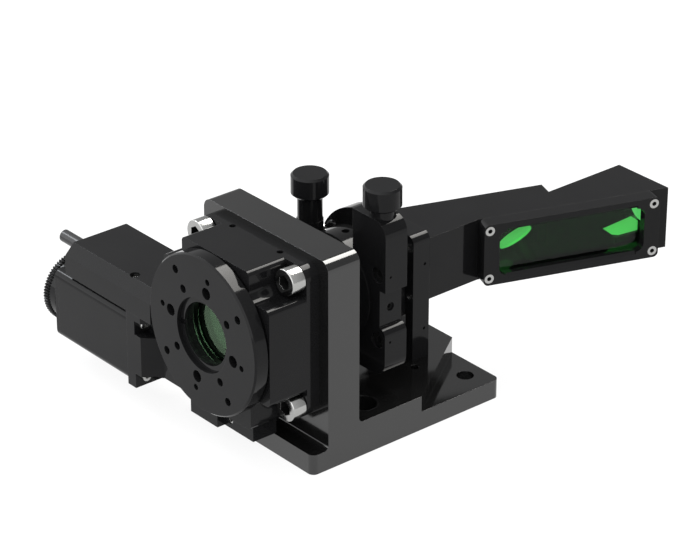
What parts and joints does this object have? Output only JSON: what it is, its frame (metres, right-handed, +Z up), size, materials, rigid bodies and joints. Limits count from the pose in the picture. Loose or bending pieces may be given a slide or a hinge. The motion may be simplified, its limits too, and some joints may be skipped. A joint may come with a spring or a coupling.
{
  "type": "motorized variable attenuator",
  "caption": "Motor-turned half-wave plate stage on a bracket, with a tilting polarizer mount and a slanted arm with a dark green window, for dimming a laser beam.",
  "frame": {"origin": "centre of the base's underside, under the beam", "axes": "+Y along the beam from the turning platform to the arm, +X to the side away from the motor, +Z up"},
  "size_m": [0.1416, 0.1926, 0.0959],
  "materials": {
    "black_anodised": "black anodised, fine satin",
    "black_cast": "black painted motor case, satin",
    "screw_steel": "plain steel screws",
    "shaft_steel": "ground steel",
    "bright_steel": "polished bearing steel",
    "bronze": "machined bronze",
    "optic_glass": "polished and coated glass",
    "green_glass": "dark green laser-safe glass",
    "lit_glass": "polished coated plate",
    "black_plastic": "moulded black plastic",
    "board_green": "printed circuit board",
    "copper_stack": "laminated stack with windings",
    "gasket_rubber": "flat black rubber"
  },
  "bodies": {
    "root": {"bracket": "black_anodised", "stage_body": "black_anodised", "stage_bolts": "screw_steel", "platform_bearing_outer": "bright_steel", "worm_bearings": "bright_steel", "worm_cover": "black_anodised", "worm_cover_screw": "screw_steel", "motor_housing": "black_cast", "motor_end_cap": "black_cast", "motor_bearings": "bright_steel", "motor_stator": "copper_stack", "motor_adaptor": "black_anodised", "motor_screws": "screw_steel", "adaptor_screws": "screw_steel", "driver_housing": "black_anodised", "driver_gasket": "gasket_rubber", "cover_screws": "screw_steel", "driver_board": "board_green", "board_standoffs": "bronze", "cable_outlet": "black_plastic", "pivot_flange": "black_anodised", "adjuster_balls": "bright_steel", "return_springs": "shaft_steel", "rear_plate": "black_anodised", "flange_screws": "screw_steel", "rear_plate_screws": "screw_steel", "arm_screws": "screw_steel", "arm_housing": "black_anodised", "window_frame": "black_anodised", "window_glass": "green_glass", "window_screws": "screw_steel", "polarizer_disc": "lit_glass", "disc_post": "black_anodised", "polarizer_plate": "lit_glass", "plate_holder": "black_anodised"},
    "worm": {"worm": "shaft_steel", "worm_shaft": "shaft_steel", "shaft_coupling": "shaft_steel", "motor_shaft": "shaft_steel", "motor_rotor": "shaft_steel", "hand_knob": "black_anodised"},
    "platform": {"platform": "black_anodised", "worm_wheel": "bronze", "waveplate_cell": "black_anodised", "half_wave_plate": "optic_glass", "waveplate_ring": "black_anodised", "platform_bearing_inner": "bright_steel", "bearing_lock_ring": "shaft_steel", "bearing_balls": "bright_steel"},
    "pivot": {"pivot_ball": "bright_steel"},
    "mount": {"mount_plate": "black_anodised", "mount_plugs": "screw_steel", "polarizer_cell": "black_anodised", "entrance_polarizer": "optic_glass", "clamp_screw": "screw_steel", "adjuster_bushings": "black_anodised"},
    "adjuster_a": {"adjuster_knob_a": "black_anodised", "adjuster_screw_a": "shaft_steel"},
    "adjuster_b": {"adjuster_knob_b": "black_anodised", "adjuster_screw_b": "shaft_steel"}
  },
  "joints": [
    {"name": "worm_spin", "type": "hinge", "parent": "root", "child": "worm", "pos_m": [-0.06, -0.052, 0.0261], "axis": [1, 0, 0], "continuous": true},
    {"name": "platform_spin", "type": "hinge", "parent": "root", "child": "platform", "pos_m": [0, -0.06, 0.05], "axis": [0, 1, 0], "continuous": true},
    {"name": "tilt_a", "type": "hinge", "parent": "root", "child": "pivot", "pos_m": [0, 0.00555, 0.027], "axis": [-0.5108, 0, 0.8597], "range_deg": [-1.5, 1.5]},
    {"name": "tilt_b", "type": "hinge", "parent": "pivot", "child": "mount", "pos_m": [0, 0.00555, 0.027], "axis": [0.5108, 0, 0.8597], "range_deg": [-1.5, 1.5]},
    {"name": "knob_a_turn", "type": "hinge", "parent": "mount", "child": "adjuster_a", "pos_m": [0.0202, -0.0003, 0.09], "axis": [0, 0, 1], "range_deg": [-720, 720]},
    {"name": "knob_b_turn", "type": "hinge", "parent": "mount", "child": "adjuster_b", "pos_m": [-0.0202, -0.0003, 0.08], "axis": [0, 0, 1], "range_deg": [-720, 720]}
  ],
  "couplings": [
    {"joint": "worm_spin", "follows": "platform_spin", "ratio": 90},
    {"joint": "tilt_a", "follows": "knob_a_turn", "ratio": 0.0020833},
    {"joint": "tilt_b", "follows": "knob_b_turn", "ratio": 0.0020833}
  ]
}
